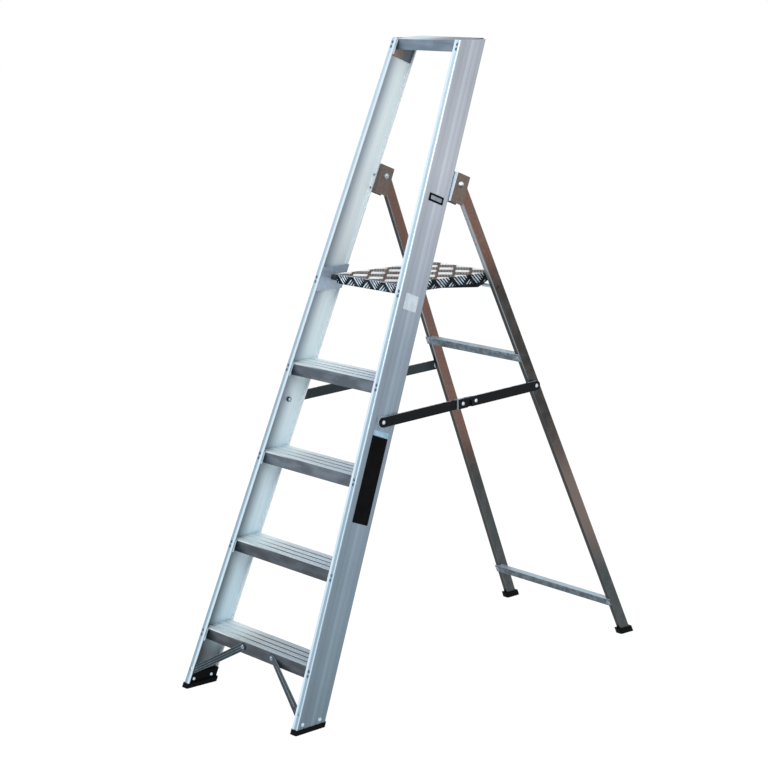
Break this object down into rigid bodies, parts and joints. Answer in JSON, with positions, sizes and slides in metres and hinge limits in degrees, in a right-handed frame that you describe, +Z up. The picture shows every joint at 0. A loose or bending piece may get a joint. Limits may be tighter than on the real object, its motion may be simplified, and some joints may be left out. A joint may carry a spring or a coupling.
{
  "type": "platform step ladder",
  "caption": "Folding aluminium platform step ladder with channel stiles, ribbed treads, tip-up chequer platform, hand rail and braced steel rear legs held by jointed stays.",
  "frame": {"origin": "on the floor, on the middle plane, midway between the front shoes and the rear feet", "axes": "+Z up, -Y the climbing side, +X to the climber's right"},
  "size_m": [0.5084, 1.3124, 1.773],
  "materials": {
    "aluminium": "satin extruded",
    "bracket_alloy": "satin",
    "chequer_plate": "rolled chequer pattern",
    "frame_steel": "passivated zinc",
    "zinc_steel": "zinc plated",
    "stay_black": "black satin",
    "rubber": "matte",
    "black_plastic": "matte",
    "spacer_plastic": "matte",
    "fastener_steel": "bright zinc"
  },
  "bodies": {
    "front_frame": {"front_shoe_left": "rubber", "front_shoe_right": "rubber", "hinge_bracket_left": "frame_steel", "hinge_bracket_right": "frame_steel", "hinge_bracket_rivets": "fastener_steel", "hinge_nuts": "fastener_steel", "hinge_pins": "fastener_steel", "left_stile": "aluminium", "platform_bracket_left": "bracket_alloy", "platform_bracket_right": "bracket_alloy", "platform_bracket_rivets": "fastener_steel", "platform_bushes": "black_plastic", "platform_pivot_bolts": "fastener_steel", "platform_pivot_nuts": "fastener_steel", "rail_bracket_left": "bracket_alloy", "rail_bracket_right": "bracket_alloy", "rail_rivets": "fastener_steel", "right_stile": "aluminium", "shoe_rivets": "fastener_steel", "stay_front_bolts": "fastener_steel", "stay_front_nuts": "fastener_steel", "stay_front_spacers": "spacer_plastic", "top_rail": "aluminium", "tread_1": "aluminium", "tread_2": "aluminium", "tread_3": "aluminium", "tread_4": "aluminium", "tread_brace_fasteners": "fastener_steel", "tread_brace_left": "zinc_steel", "tread_brace_right": "zinc_steel", "tread_bracket_left_1": "bracket_alloy", "tread_bracket_left_2": "bracket_alloy", "tread_bracket_left_3": "bracket_alloy", "tread_bracket_left_4": "bracket_alloy", "tread_bracket_right_1": "bracket_alloy", "tread_bracket_right_2": "bracket_alloy", "tread_bracket_right_3": "bracket_alloy", "tread_bracket_right_4": "bracket_alloy", "tread_rivets": "fastener_steel"},
    "rear_frame": {"brace_bolts": "fastener_steel", "leg_bushes": "black_plastic", "lower_brace": "zinc_steel", "platform_rest_pins": "fastener_steel", "rear_foot_left": "rubber", "rear_foot_right": "rubber", "rear_leg_left": "frame_steel", "rear_leg_right": "frame_steel", "stay_rear_bolts": "fastener_steel", "stay_rear_spacers": "spacer_plastic", "upper_brace": "zinc_steel"},
    "platform": {"platform_deck": "chequer_plate"},
    "stay_front_right": {"stay_front_link_right": "stay_black", "stay_tails_right": "fastener_steel"},
    "stay_front_left": {"stay_front_link_left": "stay_black", "stay_tails_left": "fastener_steel"},
    "stay_rear_right": {"stay_rear_link_right": "stay_black", "stay_rivets_right": "fastener_steel"},
    "stay_rear_left": {"stay_rear_link_left": "stay_black", "stay_rivets_left": "fastener_steel"}
  },
  "joints": [
    {"name": "rear_fold", "type": "hinge", "parent": "front_frame", "child": "rear_frame", "pos_m": [0, 0.00307, 1.38552], "axis": [-1, 0, 0], "range_deg": [0, 44]},
    {"name": "platform_tip", "type": "hinge", "parent": "front_frame", "child": "platform", "pos_m": [0, -0.17721, 1.114], "axis": [1, 0, 0], "range_deg": [0, 69]},
    {"name": "stay_front_right_turn", "type": "hinge", "parent": "front_frame", "child": "stay_front_right", "pos_m": [0, -0.3094, 0.778], "axis": [1, 0, 0], "range_deg": [0, 81.5]},
    {"name": "stay_rear_right_turn", "type": "hinge", "parent": "rear_frame", "child": "stay_rear_right", "pos_m": [0, 0.26453, 0.801], "axis": [-1, 0, 0], "range_deg": [0, 35.53]},
    {"name": "stay_front_left_turn", "type": "hinge", "parent": "front_frame", "child": "stay_front_left", "pos_m": [0, -0.3094, 0.778], "axis": [1, 0, 0], "range_deg": [0, 81.5]},
    {"name": "stay_rear_left_turn", "type": "hinge", "parent": "rear_frame", "child": "stay_rear_left", "pos_m": [0, 0.26453, 0.801], "axis": [-1, 0, 0], "range_deg": [0, 35.53]}
  ],
  "couplings": [
    {"joint": "stay_front_right_turn", "follows": "rear_fold", "ratio": 1.8523},
    {"joint": "stay_rear_right_turn", "follows": "rear_fold", "ratio": 0.80741},
    {"joint": "stay_front_left_turn", "follows": "rear_fold", "ratio": 1.8523},
    {"joint": "stay_rear_left_turn", "follows": "rear_fold", "ratio": 0.80741}
  ]
}
